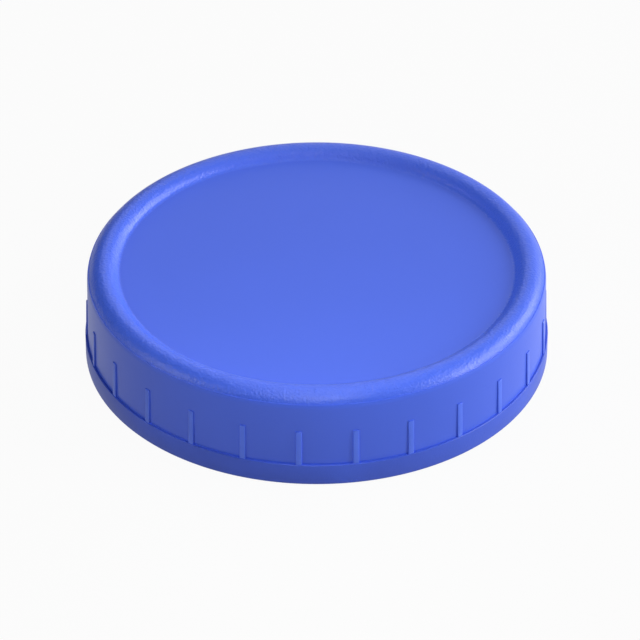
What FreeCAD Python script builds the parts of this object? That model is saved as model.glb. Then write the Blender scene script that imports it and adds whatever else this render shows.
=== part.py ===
import FreeCAD, Part
import os
from math import asin, ceil, cos, degrees, radians, sin

# Screw-on lid for a preserving jar, moulded in one piece.
# Millimetres. Z is the lid's axis. The origin is the middle of the foot, which stands on z = 0.
# Outlines are written as points (radius, height) and turned about Z.

# The jar's neck, and the room the lid leaves round it
jar_thread_diameter = 70.0
jar_thread_depth = 1.35
root_clearance = 0.3
crest_clearance = 0.45

# Skirt and the plain band round its foot
lid_height = 16.4           # foot to the crown of the rim
skirt_wall = 1.4            # behind the thread, at the top of the skirt
skirt_draft = 0.15          # the skirt's foot stands this much further out than its top
band_ledge = 0.4            # the band stands this much outside the skirt's foot
band_height = 3.7
foot_edge = 0.3             # edge taken off where the band meets the foot

# Rounded rim and the sunk panel inside it
rim_rounding = 2.5          # radius of the rim's section
parting_drop = 1.6          # crown down to the line where the skirt ends and the rim's finish starts
parting_step = 0.12         # the rim lies this much inside the skirt at that line
panel_recess = 1.4          # crown down to the panel
panel_fillet = 1.0          # where the rim runs into the panel
panel_thickness = 1.5

# Grip ribs on the skirt
rib_count = 26
rib_width = 1.0
rib_length = 6.2            # upwards from the band
rib_foot_proud = 0.28       # outwards from the foot of the skirt, where a rib runs into the band
rib_top_proud = 0.25        # outwards from the top of the skirt, at a rib's upper end
rib_edge = 0.12             # edge taken off a rib's outer corners
rib_root = 0.3              # how far a rib reaches into the skirt and the band
first_rib_angle = -94.3     # degrees about Z, counted from +X

# Mouth
mouth_widening = 0.45       # the mouth stands this much outside the wall that carries the thread
mouth_depth = 2.0           # foot to the top of the mouth's plain land
mouth_lead_in = 0.4         # chamfer at the foot
mouth_shoulder = 0.45       # height of the slope from the land up to the wall

# Thread inside the lid
thread_pitch = 5.08
thread_turns = 1.25
thread_start_gap = 0.25     # between the mouth's slope and the lower end of the thread
crest_faces_per_turn = 8    # the crest is one face an eighth of a turn
thread_base_width = 2.8     # at the wall
thread_crest_width = 1.0
thread_root = 0.4           # how far the thread reaches into the wall
runout_radius = 12.0        # round cut that lets the thread fade out at both ends
runout_reach = 1.9          # the cut's height above and below the thread's middle

# Underside of the panel
hollow_edge = 0.3           # edge taken off where the panel turns into the hollow of the rim
seal_inset = 1.46           # edge of the hollow to the middle of the low ring for the jar's lip
seal_width = 1.2
seal_height = 0.45
gate_dish_diameter = 5.0
gate_dish_depth = 0.3
gate_nub_diameter = 1.2
gate_nub_height = 0.2

# Short straight steps that stand for each round stretch of the section, by its angle
step_angle = 18.0           # on the rim, which is seen
inner_step_angle = 50.0     # on small and hidden stretches

# Places that follow from the sizes above
wall_radius = jar_thread_diameter / 2 + root_clearance
crest_radius = jar_thread_diameter / 2 - jar_thread_depth + crest_clearance
mouth_radius = wall_radius + mouth_widening
skirt_top_radius = wall_radius + skirt_wall
skirt_foot_radius = skirt_top_radius + skirt_draft
band_radius = skirt_foot_radius + band_ledge
rib_foot_radius = skirt_foot_radius + rib_foot_proud
rib_top_radius = skirt_top_radius + rib_top_proud
rim_centre_radius = skirt_top_radius - rim_rounding - parting_step
rim_centre_height = lid_height - rim_rounding
panel_height = lid_height - panel_recess
underside_height = panel_height - panel_thickness
hollow_rounding = wall_radius - rim_centre_radius
hollow_radius = rim_centre_radius - hollow_rounding
seal_radius = hollow_radius - seal_inset
thread_start_height = mouth_depth + mouth_shoulder + thread_start_gap + thread_base_width / 2


def at(radius, height):
    return FreeCAD.Vector(radius, 0, height)


def on_circle(centre, radius, angle):
    """Point of a circle in the section plane, angle in degrees from the outward direction."""
    return centre + at(radius * cos(radians(angle)), radius * sin(radians(angle)))


class Outline:
    """A chain of lines in the section plane."""

    def __init__(self, start):
        self.start = start
        self.end = start
        self.edges = []

    def line(self, point):
        self.edges.append(Part.makeLine(self.end, point))
        self.end = point
        return self

    def round(self, centre, radius, first, last, step=step_angle):
        """Round stretch about a centre from one angle to another, joined to the chain by a line."""
        steps = max(1, ceil(abs(last - first) / step))
        for number in range(steps + 1):
            point = on_circle(centre, radius, first + (last - first) * number / steps)
            if point.distanceToPoint(self.end) > 1e-6:
                self.line(point)
        return self

    def turned(self):
        """The closed outline turned once about Z."""
        self.line(self.start)
        face = Part.Face(Part.Wire(self.edges))
        return face.revolve(at(0, 0), FreeCAD.Vector(0, 0, 1), 360)


def lid_body():
    """Skirt, band, rim and panel in one section."""
    outline = Outline(at(mouth_radius + mouth_lead_in, 0))

    # foot, band and the small ledge on top of it
    outline.line(at(band_radius - foot_edge, 0))
    outline.line(at(band_radius, foot_edge))
    outline.line(at(band_radius, band_height))
    outline.line(at(skirt_foot_radius, band_height))

    # skirt, then the rim's rounding, first up to the parting line, then over the crown
    rim_centre = at(rim_centre_radius, rim_centre_height)
    rise = rim_rounding - parting_drop
    under_line = rim_rounding + parting_step
    outline.round(rim_centre, under_line, 0, degrees(asin(rise / under_line)))
    fillet_height = panel_height + panel_fillet
    to_fillet = rim_rounding + panel_fillet
    foot_angle = 180 - degrees(asin((fillet_height - rim_centre_height) / to_fillet))
    outline.round(rim_centre, rim_rounding, degrees(asin(rise / rim_rounding)), 90)
    outline.round(rim_centre, rim_rounding, 90, foot_angle)

    # the fillet at the foot of the rim, and the panel to the middle
    fillet_centre = on_circle(rim_centre, to_fillet, foot_angle)
    outline.round(fillet_centre, panel_fillet, foot_angle - 180, -90)
    outline.line(at(0, panel_height))

    # underside of the panel, from the moulding gate in its middle to the sealing ring
    dish_height = underside_height + gate_dish_depth
    outline.line(at(0, dish_height - gate_nub_height))
    outline.line(at(gate_nub_diameter / 2, dish_height - gate_nub_height))
    outline.line(at(gate_nub_diameter / 2, dish_height))
    outline.line(at(gate_dish_diameter / 2 - gate_dish_depth, dish_height))
    outline.line(at(gate_dish_diameter / 2, underside_height))
    seal_rounding = (seal_width ** 2 / 4 + seal_height ** 2) / (2 * seal_height)
    seal_half_angle = degrees(asin(seal_width / 2 / seal_rounding))
    seal_centre = at(seal_radius, underside_height - seal_height + seal_rounding)
    outline.round(seal_centre, seal_rounding, -90 - seal_half_angle, -90 + seal_half_angle, inner_step_angle)

    # hollow under the rim, which follows the rim's rounding, and the wall that carries the thread
    outline.line(at(hollow_radius - hollow_edge, underside_height))
    outline.line(at(hollow_radius, underside_height + hollow_edge))
    outline.round(rim_centre, hollow_rounding, 180, 0, inner_step_angle)
    outline.line(at(wall_radius, mouth_depth + mouth_shoulder))
    outline.line(at(mouth_radius, mouth_depth))
    outline.line(at(mouth_radius, mouth_lead_in))
    return outline.turned()


def grip_rib():
    """One upright rib on the +X side, which stands out less towards its top, outer edges taken off."""
    inner = skirt_top_radius - rib_root
    foot = band_height - rib_root
    top = band_height + rib_length
    slope = (rib_foot_radius - rib_top_radius) / rib_length
    corners = [
        at(inner, foot),
        at(rib_foot_radius + slope * rib_root, foot),
        at(rib_top_radius, top),
        at(inner, top),
    ]
    side = Part.Face(Part.makePolygon(corners + corners[:1]))
    side.translate(FreeCAD.Vector(0, -rib_width / 2, 0))
    block = side.extrude(FreeCAD.Vector(0, rib_width, 0))
    outer_edges = [
        edge
        for edge in block.Edges
        if edge.CenterOfMass.x > (inner + rib_top_radius) / 2 + rib_edge and edge.CenterOfMass.z > foot + rib_edge
    ]
    return block.makeChamfer(rib_edge, outer_edges)


def grip_ribs():
    rib = grip_rib()
    ribs = []
    for number in range(rib_count):
        copy = rib.copy()
        copy.rotate(at(0, 0), FreeCAD.Vector(0, 0, 1), first_rib_angle + 360 / rib_count * number)
        ribs.append(copy)
    return ribs


def thread_room():
    """Ring between the thread's crest and its root in the wall, its inside split into upright strips."""
    reach = thread_base_width
    low = thread_start_height - reach
    high = thread_start_height + thread_pitch * thread_turns + reach
    strip_angle = 360 / crest_faces_per_turn
    strips = []
    for number in range(crest_faces_per_turn):
        strip = Part.makeCylinder(crest_radius, high - low, at(0, low), FreeCAD.Vector(0, 0, 1), strip_angle)
        strip.rotate(at(0, 0), FreeCAD.Vector(0, 0, 1), strip_angle * (number + 0.5))
        strips.append(strip)
    inside = strips[0].fuse(strips[1:])
    return Part.makeCylinder(wall_radius + thread_root, high - low, at(0, low)).cut(inside)


def runout(angle, height):
    """Round cut at one end of the thread, touching the wall from inside."""
    place = FreeCAD.Vector(cos(radians(angle)), sin(radians(angle)), 0) * (wall_radius - runout_radius)
    place.z = height - runout_reach
    return Part.makeCylinder(runout_radius, 2 * runout_reach, place)


def thread():
    """One ridge wound up the wall, with sloping flanks and a flat crest."""
    rise = thread_pitch * thread_turns
    path = Part.Wire(Part.makeHelix(thread_pitch, rise, wall_radius).Edges)
    slope = (thread_base_width - thread_crest_width) / 2 / (wall_radius - crest_radius)
    back = wall_radius + 2 * thread_root
    back_half = thread_base_width / 2 + slope * 2 * thread_root
    front = crest_radius - thread_root
    front_half = thread_crest_width / 2 - slope * thread_root
    corners = [at(back, -back_half), at(front, -front_half), at(front, front_half), at(back, back_half)]
    ridge = path.makePipeShell([Part.makePolygon(corners + corners[:1])], True, True)
    ridge.translate(at(0, thread_start_height))
    ends = [
        runout(0, thread_start_height),
        runout(360 * thread_turns, thread_start_height + rise),
    ]
    return ridge.common(thread_room()).cut(ends)


def lid():
    return lid_body().fuse(grip_ribs() + [thread()])


os.makedirs("parts", exist_ok=True)
shape = lid()
shape = shape.Solids[0] if len(shape.Solids) == 1 else shape
shape.exportStep("parts/lid.step")
print("solids", len(shape.Solids), "valid", shape.isValid(), "volume", round(shape.Volume, 1))
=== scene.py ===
import math

import bmesh
import bpy
from mathutils import Matrix, Vector


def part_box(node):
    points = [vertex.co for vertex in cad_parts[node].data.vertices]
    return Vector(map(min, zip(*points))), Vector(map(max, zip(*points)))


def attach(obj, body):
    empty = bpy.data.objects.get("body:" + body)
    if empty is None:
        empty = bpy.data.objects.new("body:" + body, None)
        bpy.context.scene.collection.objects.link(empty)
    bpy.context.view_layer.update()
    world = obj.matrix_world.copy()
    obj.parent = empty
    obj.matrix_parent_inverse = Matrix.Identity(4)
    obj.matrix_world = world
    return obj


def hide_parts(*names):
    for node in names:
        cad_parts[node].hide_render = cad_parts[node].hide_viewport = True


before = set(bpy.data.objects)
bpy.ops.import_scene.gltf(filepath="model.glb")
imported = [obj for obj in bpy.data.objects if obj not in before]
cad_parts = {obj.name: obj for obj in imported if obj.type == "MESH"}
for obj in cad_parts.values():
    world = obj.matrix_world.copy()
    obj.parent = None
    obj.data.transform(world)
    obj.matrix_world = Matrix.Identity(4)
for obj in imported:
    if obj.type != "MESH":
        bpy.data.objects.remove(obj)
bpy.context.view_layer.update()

# Sizes of the lid in millimetres. The outside radius and the height come from the frame.
MILLIMETRES = 1000
same_place = 0.005          # points this near are one point
hair = 0.01                 # room that a test of a height leaves
sharp_from = 35             # degrees between two faces, from which their edge looks sharp
lid_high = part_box("lid")[1]
band_radius = lid_high[0] * MILLIMETRES
lid_height = lid_high[2] * MILLIMETRES

# Band, skirt and ribs
band_height = 3.7
band_ledge = 0.4
band_edge = 0.12
foot_edge = 0.3
skirt_draft = 0.15
skirt_wall = 1.4
skirt_foot_radius = band_radius - band_ledge
skirt_top_radius = skirt_foot_radius - skirt_draft
wall_radius = skirt_top_radius - skirt_wall
rib_count = 26
rib_length = 6.2
rib_foot_proud = 0.28
rib_top_proud = 0.25
rib_edge = 0.16
first_rib_angle = -94.3
rib_top = band_height + rib_length
rib_foot_radius = skirt_foot_radius + rib_foot_proud
rib_top_radius = skirt_top_radius + rib_top_proud

# The skin is turned in narrow columns, and each rib is one column wide
columns_per_rib = 9
column_angle = 360 / (rib_count * columns_per_rib)

# Rim and panel
rim_rounding = 2.5
parting_drop = 1.6          # crown down to the line where the rim's grain starts
parting_step = 0.12         # the rim lies this much inside the skirt at that line
panel_recess = 1.4
panel_fillet = 1.0
panel_thickness = 1.5
rim_radius = skirt_top_radius - rim_rounding - parting_step
rim_height = lid_height - rim_rounding
parting_height = lid_height - parting_drop
panel_height = lid_height - panel_recess
underside_height = panel_height - panel_thickness

# Mouth, wall and hollow inside the rim
mouth_widening = 0.45
mouth_radius = wall_radius + mouth_widening
mouth_depth = 2.0
mouth_lead_in = 0.4
mouth_shoulder = 0.45
hollow_rounding = wall_radius - rim_radius
hollow_radius = rim_radius - hollow_rounding
hollow_edge = 0.3

# Ring for the jar's lip, and the mark of the moulding gate
seal_inset = 1.46
seal_radius = hollow_radius - seal_inset
seal_half_width = 0.6
seal_drop = 0.45
dish_radius = 2.5
dish_depth = 0.3
nub_radius = 0.6
nub_height = 0.2

# Thread
thread_pitch = 5.08
thread_turns = 1.25
thread_height = 1.2         # inwards from the wall
thread_base_half = 1.4
thread_crest_half = 0.5
thread_edge = 0.22          # rounding of the crest's corners
thread_root = 0.4           # how far the thread reaches into the wall
thread_start_gap = 0.25
thread_steps = 150
thread_crest_radius = wall_radius - thread_height
thread_start_height = mouth_depth + mouth_shoulder + thread_start_gap + thread_base_half
runout_radius = 12.0        # round cut that lets the thread fade out at both ends
runout_reach = 0.5          # the cut's reach along the thread, in radians about the axis
runout_cover = 0.02         # the faded thread is sunk this far into the wall

# Camera, as the photograph was taken, in metres, degrees and millimetres of lens
camera_distance = 0.7885
camera_elevation = 35.62
camera_lens = 274.4
camera_sensor = 36
camera_reach = (0.05, 20)   # nearest and farthest that it sees, in metres
camera_aim = (0.00055, 0.00239, 0.00333)

# Half the floor's width, in metres
floor_half = 3

# How much of the floor's own shade gives way to plain white, to the camera and in reflections
floor_white_seen = 0.95
floor_white_mirrored = 0.55

# Light that comes from all round, apart from the lamps
studio_fill = 0.01

# Lamps: name, azimuth and elevation in degrees, distance and size in metres, power in watts
lamps = [
    ("right", 348, 16, 0.8, 0.30, 3.5),
    ("right_back", 28, 18, 0.8, 0.30, 2.8),
    ("back_right", 60, 18, 0.8, 0.30, 0.5),
    ("back", 90, 18, 0.8, 0.30, 0.4),
    ("high_right", 0, 38, 0.8, 0.35, 1.2),
    ("left", 197, 22, 0.8, 0.35, 1.45),
    ("high_back", 90, 58, 0.8, 0.35, 0.80),
    ("front", 270, 42, 0.10, 0.04, 0.021),
    ("overhead", 270, 82, 0.15, 0.05, 0.038),
]


def round_stretch(centre, radius, first, last, steps):
    """Points of an arc in the section plane, with angles in degrees from the outward direction."""
    across_centre, up_centre = centre
    turns = [math.radians(first + (last - first) * step / steps) for step in range(steps + 1)]
    return [
        (across_centre + radius * math.cos(turn), up_centre + radius * math.sin(turn))
        for turn in turns
    ]


def rim_section():
    """From the middle of the panel over the rim's crown down to the parting line."""
    fillet_height = panel_height + panel_fillet
    reach = rim_rounding + panel_fillet
    foot_angle = 180 - math.degrees(math.asin((fillet_height - rim_height) / reach))
    fillet_radius = rim_radius + reach * math.cos(math.radians(foot_angle))
    fillet_centre = (fillet_radius, fillet_height)
    rim_centre = (rim_radius, rim_height)
    rise = parting_height - rim_height
    under_rounding = rim_rounding + parting_step
    line_angle = math.degrees(math.asin(rise / rim_rounding))
    under_angle = math.degrees(math.asin(rise / under_rounding))
    panel = [(fillet_radius * share, panel_height) for share in (0, 0.25, 0.5, 0.75)]
    fillet = round_stretch(fillet_centre, panel_fillet, -90, foot_angle - 180, steps=8)
    crown = round_stretch(rim_centre, rim_rounding, foot_angle, line_angle, steps=26)
    under = round_stretch(rim_centre, under_rounding, under_angle, 0, steps=4)
    return panel + fillet + crown[1:] + under


def skirt_section():
    """From the skirt's top down to the foot."""
    rise = (rib_top - band_height) / (rim_height - band_height)
    beside_rib = [(skirt_foot_radius - skirt_draft * rise, rib_top)]
    ledge = [(skirt_foot_radius, band_height)]
    lip_centre = (band_radius - band_edge, band_height - band_edge)
    lip = round_stretch(lip_centre, band_edge, 90, 0, steps=3)
    foot_centre = (band_radius - foot_edge, foot_edge)
    foot = round_stretch(foot_centre, foot_edge, 0, -90, steps=4)
    return beside_rib + ledge + lip + foot


def inside_section():
    """Up the mouth and the wall, round the hollow, and along the underside to its middle."""
    mouth = [
        (mouth_radius + mouth_lead_in, 0),
        (mouth_radius, mouth_lead_in),
        (mouth_radius, mouth_depth),
        (wall_radius, mouth_depth + mouth_shoulder),
    ]
    hollow = round_stretch((rim_radius, rim_height), hollow_rounding, 0, 180, steps=20)
    edge_centre = (hollow_radius - hollow_edge, underside_height + hollow_edge)
    edge = round_stretch(edge_centre, hollow_edge, 0, -90, steps=4)
    seal_rounding = (seal_half_width ** 2 + seal_drop ** 2) / (2 * seal_drop)
    seal_turn = math.degrees(math.asin(seal_half_width / seal_rounding))
    seal_centre = (seal_radius, underside_height - seal_drop + seal_rounding)
    seal = round_stretch(seal_centre, seal_rounding, seal_turn - 90, -seal_turn - 90, steps=10)
    dish_height = underside_height + dish_depth
    gate = [
        (dish_radius, underside_height),
        (dish_radius - dish_depth, dish_height),
        (nub_radius, dish_height),
        (nub_radius, dish_height - nub_height),
        (0, dish_height - nub_height),
    ]
    return mouth + hollow + edge + seal + gate


def ring_angle(point):
    """Angle about the lid's axis in degrees, counted from the middle of the first rib."""
    return (math.degrees(math.atan2(point.y, point.x)) - first_rib_angle) % 360


def across(point):
    """Distance from the lid's axis."""
    return math.hypot(point.x, point.y)


def on_rib_column(face):
    """True for the faces of the one column in nine that a rib stands on."""
    column = round(ring_angle(face.calc_center_median()) / column_angle)
    return column % columns_per_rib == 0


def rib_reach(height):
    """Radius of the ribs' outer faces, which stand out less towards the top."""
    rise = (height - band_height) / (rib_top - band_height)
    return rib_foot_radius + (rib_top_radius - rib_foot_radius) * rise


def moved_outwards(place, radius):
    """The same direction and height at another distance from the axis."""
    outwards = radius / across(place)
    return Vector((place.x * outwards, place.y * outwards, place.z))


def raise_ribs(shell):
    """Draw each rib out of the skirt, open it to the ledge below, and round its edges."""
    bed = [
        face
        for face in shell.faces
        if on_rib_column(face)
        and across(face.calc_center_median()) > wall_radius + skirt_wall / 2
        and band_height < face.calc_center_median().z < rib_top
    ]
    drawn = bmesh.ops.extrude_face_region(shell, geom=bed)["geom"]
    bmesh.ops.delete(shell, geom=bed, context="FACES")
    for corner in drawn:
        if isinstance(corner, bmesh.types.BMVert):
            corner.co = moved_outwards(corner.co, rib_reach(corner.co.z))
    covered = [
        face
        for face in shell.faces
        if on_rib_column(face)
        and all(abs(corner.co.z - band_height) < same_place for corner in face.verts)
        and across(face.calc_center_median()) < rib_foot_radius
    ]
    bmesh.ops.delete(shell, geom=covered, context="FACES")
    bmesh.ops.remove_doubles(shell, verts=shell.verts, dist=same_place)
    outer_edges = [
        edge
        for edge in shell.edges
        if all(abs(across(tip.co) - rib_reach(tip.co.z)) < same_place for tip in edge.verts)
        and max(tip.co.z for tip in edge.verts) > band_height + rib_edge
    ]
    bmesh.ops.bevel(
        shell,
        geom=outer_edges,
        offset=rib_edge,
        offset_type="OFFSET",
        segments=3,
        profile=0.5,
        affect="EDGES",
        material=-1,
        clamp_overlap=True,
    )


def lid_shell():
    """The whole skin of the lid but its thread, turned about the axis in narrow columns."""
    section = rim_section() + skirt_section() + inside_section()
    shell = bmesh.new()
    corners = [shell.verts.new((radius, 0, height)) for radius, height in section]
    chain = [shell.edges.new(pair) for pair in zip(corners, corners[1:])]
    start = Matrix.Rotation(math.radians(first_rib_angle - column_angle / 2), 3, "Z")
    bmesh.ops.rotate(shell, verts=corners, cent=(0, 0, 0), matrix=start)
    bmesh.ops.spin(
        shell,
        geom=corners + chain,
        cent=(0, 0, 0),
        axis=(0, 0, 1),
        angle=math.tau,
        steps=rib_count * columns_per_rib,
        use_merge=True,
    )
    bmesh.ops.remove_doubles(shell, verts=shell.verts, dist=same_place)
    raise_ribs(shell)
    bmesh.ops.recalc_face_normals(shell, faces=shell.faces)
    return shell


def thread_section():
    """The thread's outline at its lower end, with rounded corners on the crest."""
    slope = (thread_base_half - thread_crest_half) / (wall_radius - thread_crest_radius)
    back = wall_radius + thread_root
    back_half = thread_base_half + slope * thread_root
    flank_turn = math.degrees(math.atan(slope))
    centre_height = thread_crest_half - thread_edge * (1 - slope) / 2
    upper_centre = (thread_crest_radius + thread_edge, centre_height)
    upper = round_stretch(upper_centre, thread_edge, 90 + flank_turn, 180, steps=3)
    lower = [(radius, -height) for radius, height in reversed(upper)]
    return [(back, back_half)] + upper + lower + [(back, -back_half)]


def fade_out(ridge):
    """Bring the crest up to the wall at both ends, along a round cut that touches the wall."""
    cut_centre = wall_radius - runout_radius
    for corner in ridge.verts:
        climbed = (corner.co.z - thread_start_height) / thread_pitch
        turned = (math.degrees(math.atan2(corner.co.y, corner.co.x)) % 360) / 360
        turns = turned + round(climbed - turned)
        off = math.radians(360 * min(abs(turns), abs(thread_turns - turns)))
        if off > runout_reach:
            continue
        beside = cut_centre * math.sin(off)
        limit = cut_centre * math.cos(off) + math.sqrt(runout_radius ** 2 - beside ** 2)
        if across(corner.co) < limit:
            corner.co = moved_outwards(corner.co, min(limit, wall_radius + runout_cover))


def thread_ridge():
    """The thread, one section turned and raised about the axis at once."""
    ridge = bmesh.new()
    corners = [
        ridge.verts.new((radius, 0, thread_start_height + height))
        for radius, height in thread_section()
    ]
    end = ridge.faces.new(corners)
    bmesh.ops.spin(
        ridge,
        geom=[end] + list(end.edges) + corners,
        cent=(0, 0, 0),
        axis=(0, 0, 1),
        dvec=(0, 0, thread_pitch * thread_turns / thread_steps),
        angle=math.tau * thread_turns,
        steps=thread_steps,
    )
    fade_out(ridge)
    bmesh.ops.recalc_face_normals(ridge, faces=ridge.faces)
    return ridge


def as_object(name, mesh_code):
    """An object from a bmesh in millimetres, at its place in metres."""
    mesh = bpy.data.meshes.new(name)
    mesh_code.to_mesh(mesh)
    mesh_code.free()
    mesh.transform(Matrix.Scale(1 / MILLIMETRES, 4))
    made = bpy.data.objects.new(name, mesh)
    bpy.context.scene.collection.objects.link(made)
    return made


def joined(body, addition):
    """One closed skin of two solids that overlap."""
    union = body.modifiers.new("union", "BOOLEAN")
    union.operation = "UNION"
    union.solver = "MANIFOLD"
    union.object = addition
    depsgraph = bpy.context.evaluated_depsgraph_get()
    skin = bpy.data.meshes.new_from_object(body.evaluated_get(depsgraph))
    body.modifiers.remove(union)
    body.data = skin
    bpy.data.objects.remove(addition)
    return body


class Amount:
    """A number that changes over the surface, for plain arithmetic."""

    def __init__(self, finish, socket):
        self.finish = finish
        self.socket = socket

    def worked(self, operation, first, second):
        made = self.finish.node("ShaderNodeMath", {"operation": operation}, {0: first, 1: second})
        return Amount(self.finish, made.outputs[0])

    def __add__(self, other):
        return self.worked("ADD", self, other)

    def __radd__(self, other):
        return self.worked("ADD", other, self)

    def __rsub__(self, other):
        return self.worked("SUBTRACT", other, self)

    def __mul__(self, other):
        return self.worked("MULTIPLY", self, other)

    def __rmul__(self, other):
        return self.worked("MULTIPLY", other, self)


class Finish:
    """One finish of the moulded plastic, with its nodes."""

    def __init__(self, name):
        self.material = bpy.data.materials.new(name)
        self.material.use_nodes = True
        self.tree = self.material.node_tree
        self.shader = self.tree.nodes["Principled BSDF"]

    def node(self, kind, settings, inputs):
        made = self.tree.nodes.new(kind)
        for setting, value in settings.items():
            setattr(made, setting, value)
        for place, value in inputs.items():
            self.plug(made.inputs[place], value)
        return made

    def plug(self, socket, value):
        if isinstance(value, Amount):
            self.tree.links.new(value.socket, socket)
        elif isinstance(value, bpy.types.NodeSocket):
            self.tree.links.new(value, socket)
        else:
            socket.default_value = value

    def place(self):
        """Position on the lid in metres."""
        return self.node("ShaderNodeTexCoord", {}, {}).outputs["Object"]

    def clouds(self, size):
        """Soft random pattern from 0 to 1, its patches about this large in metres."""
        inputs = {"Vector": self.place(), "Scale": 1 / size, "Detail": 2.0}
        return Amount(self, self.node("ShaderNodeTexNoise", {}, inputs).outputs["Fac"])

    def pebbles(self, size):
        """Small rounded bumps, from 0 between them to about 1 on top."""
        inputs = {"Vector": self.place(), "Scale": 1 / size}
        cells = self.node("ShaderNodeTexVoronoi", {"feature": "SMOOTH_F1"}, inputs)
        return 1 - Amount(self, cells.outputs["Distance"])

    def tone(self, dark, light, share):
        """Colour between two tones."""
        inputs = {0: share, 6: dark, 7: light}
        return self.node("ShaderNodeMix", {"data_type": "RGBA"}, inputs).outputs[2]

    def relief(self, height, depth):
        """Bump this deep in metres."""
        inputs = {"Height": height, "Distance": depth, "Strength": 1.0}
        return self.node("ShaderNodeBump", {}, inputs).outputs["Normal"]

    def dress(self, **sockets):
        for name, value in sockets.items():
            self.plug(self.shader.inputs[name.replace("_", " ")], value)
        return self.material


# Colours, linear: the floor's, then the plastic's
WHITE = (1, 1, 1, 1)
FLOOR_GREY = (0.45, 0.45, 0.45, 1)
BLUE = (0.065, 0.144, 0.83, 1)
BLUE_DEEP = (0.059, 0.137, 0.80, 1)
# painted shade: darker tone of the band, for the dimmer light near the floor
BLUE_BAND_PAINTED_SHADE = (0.040, 0.088, 0.54, 1)
# painted light: lighter tone of the ribs' faces, for the light that they catch
BLUE_PAINTED_RIB_LIGHT = (0.100, 0.210, 0.95, 1)
# painted sparkle: lighter specks of the rim's colour, partly random grain tone
BLUE_PAINTED_SPARKLE = (0.071, 0.156, 0.86, 1)


def panel_finish():
    """Smooth matte top."""
    finish = Finish("panel_smooth_matte")
    flow = finish.clouds(size=0.012)
    fine = finish.clouds(size=0.00022)
    return finish.dress(
        Base_Color=finish.tone(BLUE_DEEP, BLUE, flow),
        Roughness=0.46 + 0.05 * flow,
        Normal=finish.relief(fine, depth=0.000006),
    )


def rim_finish():
    """Fine pebble grain of the rim, whose bumps give a slight sparkle, with painted sparkle:
    random lighter specks in the colour, partly grain tone.
    """
    finish = Finish("rim_fine_grain")
    flow = finish.clouds(size=0.010)
    speckle = finish.clouds(size=0.0003)
    grain = finish.pebbles(size=0.00042) * 0.6 + speckle * 0.8
    return finish.dress(
        # painted sparkle: random lighter specks in the colour, partly grain tone
        Base_Color=finish.tone(BLUE_DEEP, BLUE_PAINTED_SPARKLE, speckle),
        Roughness=0.28 + 0.08 * flow,
        Normal=finish.relief(grain, depth=0.00011),
    )


def skirt_finish():
    """Satin skirt."""
    finish = Finish("skirt_satin")
    flow = finish.clouds(size=0.014)
    fine = finish.clouds(size=0.0006)
    return finish.dress(
        Base_Color=finish.tone(BLUE_DEEP, BLUE, flow),
        Roughness=0.30 + 0.06 * flow,
        Normal=finish.relief(fine, depth=0.000006),
    )


def band_finish():
    """Lightly grained band round the foot, painted darker than the skirt: painted shade, for the
    dimmer light near the floor.
    """
    finish = Finish("band_light_grain")
    flow = finish.clouds(size=0.010)
    grain = finish.clouds(size=0.0004)
    return finish.dress(
        # painted shade: the band's colour lies between a darker tone and the deep blue, for the
        # dimmer light near the floor
        Base_Color=finish.tone(BLUE_BAND_PAINTED_SHADE, BLUE_DEEP, flow),
        Roughness=0.36 + 0.06 * flow,
        Normal=finish.relief(grain, depth=0.00002),
    )


def inside_finish():
    """Smooth inside, straight off the polished core of the mould."""
    finish = Finish("inside_smooth")
    flow = finish.clouds(size=0.012)
    return finish.dress(
        Base_Color=finish.tone(BLUE_DEEP, BLUE, flow),
        Roughness=0.30 + 0.06 * flow,
        Normal=finish.relief(flow, depth=0.00001),
    )


def rib_finish():
    """Ribs, painted lighter than the skirt: painted light, for the light that the ribs catch."""
    finish = Finish("rib_painted_light")
    flow = finish.clouds(size=0.003)
    return finish.dress(
        # painted light: the ribs' faces drift at random towards a lighter tone, for the light that
        # they catch
        Base_Color=finish.tone(BLUE, BLUE_PAINTED_RIB_LIGHT, flow),
        Roughness=0.26 + 0.06 * flow,
        Normal=finish.relief(flow, depth=0.000006),
    )


PANEL, RIM, SKIRT, RIB, BAND, INSIDE = range(6)

# Values that tell the finishes' places apart
panel_edge = rim_radius - rim_rounding * 0.9
level_enough = 0.99         # height of a normal on the panel
upward = 0.5                # and on the ledge and the ribs' tops
skin_room = 0.3             # outer faces lie no deeper than this inside the skirt's top
rib_face_room = 0.03        # a rib's outer faces lie no deeper than this


def finish_number(face):
    """Which of the finishes a face of the lid has."""
    middle = face.center * MILLIMETRES
    radius = across(middle)
    faces_outwards = face.normal.dot((middle.x, middle.y, 0)) > 0
    if middle.z > parting_height - hair:
        return PANEL if radius < panel_edge and face.normal.z > level_enough else RIM
    if middle.z < hair and radius > mouth_radius + mouth_lead_in:
        return BAND
    on_skin = radius > skirt_top_radius - skin_room and faces_outwards
    on_ledge = radius > wall_radius + skirt_wall / 2 and face.normal.z > upward
    if not (on_skin or on_ledge):
        return INSIDE
    if middle.z < band_height + 2 * hair:
        return BAND
    on_rib = radius > rib_reach(middle.z) - rib_face_room and middle.z < rib_top
    return RIB if on_rib else SKIRT


def make_lid():
    """The one piece, in its finishes, in the place of the CAD node."""
    lid = joined(as_object("screw_lid", lid_shell()), as_object("thread_ridge", thread_ridge()))
    mesh = lid.data
    mesh.materials.clear()
    finishes = [
        panel_finish(),
        rim_finish(),
        skirt_finish(),
        rib_finish(),
        band_finish(),
        inside_finish(),
    ]
    for finish in finishes:
        mesh.materials.append(finish)
    for face in mesh.polygons:
        face.material_index = finish_number(face)
        face.use_smooth = True
    mesh.set_sharp_from_angle(angle=math.radians(sharp_from))
    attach(lid, "root")
    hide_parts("lid")


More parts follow.
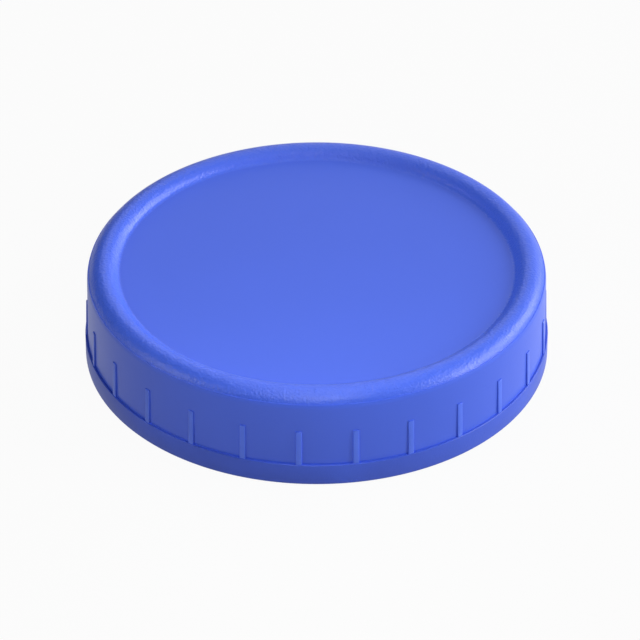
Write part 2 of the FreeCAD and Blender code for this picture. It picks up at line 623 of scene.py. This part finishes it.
def floor_finish():
    """Pale floor, close to white to the camera, that keeps the lid's soft shadow."""
    finish = Finish("floor_pale")
    finish.dress(Base_Color=FLOOR_GREY, Roughness=0.8)
    ray = finish.node("ShaderNodeLightPath", {}, {})
    seen = Amount(finish, ray.outputs["Is Camera Ray"])
    mirrored = Amount(finish, ray.outputs["Is Glossy Ray"])
    glow = finish.node("ShaderNodeEmission", {}, {"Color": WHITE, "Strength": 1.0})
    share = floor_white_seen * seen + floor_white_mirrored * mirrored
    blend = {0: share, 1: finish.shader.outputs[0], 2: glow.outputs[0]}
    mix = finish.node("ShaderNodeMixShader", {}, blend)
    output = finish.tree.nodes["Material Output"]
    finish.plug(output.inputs["Surface"], mix.outputs[0])
    return finish.material


def make_floor():
    """A plain floor that the lid stands on."""
    plane = bmesh.new()
    bmesh.ops.create_grid(plane, x_segments=1, y_segments=1, size=floor_half * MILLIMETRES)
    floor = as_object("floor", plane)
    floor.data.materials.append(floor_finish())


def softbox(name, azimuth, elevation, distance, size, power):
    """A square lamp that faces the lid, placed by its direction in degrees."""
    turn, tilt = math.radians(azimuth), math.radians(elevation)
    level = math.cos(tilt)
    place = Vector((math.cos(turn) * level, math.sin(turn) * level, math.sin(tilt))) * distance
    lamp = bpy.data.lights.new(name, "AREA")
    lamp.shape = "SQUARE"
    lamp.size = size
    lamp.energy = power
    holder = bpy.data.objects.new(name, lamp)
    holder.location = place
    holder.rotation_mode = "QUATERNION"
    holder.rotation_quaternion = place.to_track_quat("Z", "Y")
    holder.visible_camera = False
    bpy.context.scene.collection.objects.link(holder)


def make_light():
    """A dim studio that is white to the camera, and its lamps."""
    world = bpy.data.worlds.new("studio")
    bpy.context.scene.world = world
    world.use_nodes = True
    nodes, links = world.node_tree.nodes, world.node_tree.links
    fill = nodes["Background"]
    fill.inputs["Color"].default_value = WHITE
    fill.inputs["Strength"].default_value = studio_fill
    white = nodes.new("ShaderNodeBackground")
    white.inputs["Color"].default_value = WHITE
    white.inputs["Strength"].default_value = 1.0
    ray = nodes.new("ShaderNodeLightPath")
    mix = nodes.new("ShaderNodeMixShader")
    links.new(ray.outputs["Is Camera Ray"], mix.inputs[0])
    links.new(fill.outputs[0], mix.inputs[1])
    links.new(white.outputs[0], mix.inputs[2])
    links.new(mix.outputs[0], nodes["World Output"].inputs["Surface"])
    for lamp in lamps:
        softbox(*lamp)


def make_camera():
    """The camera, at the photograph's viewing angle."""
    lens = bpy.data.cameras.new("camera")
    lens.lens = camera_lens
    lens.sensor_width = camera_sensor
    lens.clip_start, lens.clip_end = camera_reach
    camera = bpy.data.objects.new("camera", lens)
    tilt = math.radians(camera_elevation)
    camera.location = (0, -camera_distance * math.cos(tilt), camera_distance * math.sin(tilt))
    camera.rotation_mode = "QUATERNION"
    camera.rotation_quaternion = (camera.location - Vector(camera_aim)).to_track_quat("Z", "Y")
    bpy.context.scene.collection.objects.link(camera)
    bpy.context.scene.camera = camera


make_lid()
make_floor()
make_light()
make_camera()
bpy.context.scene.view_settings.view_transform = "Standard"
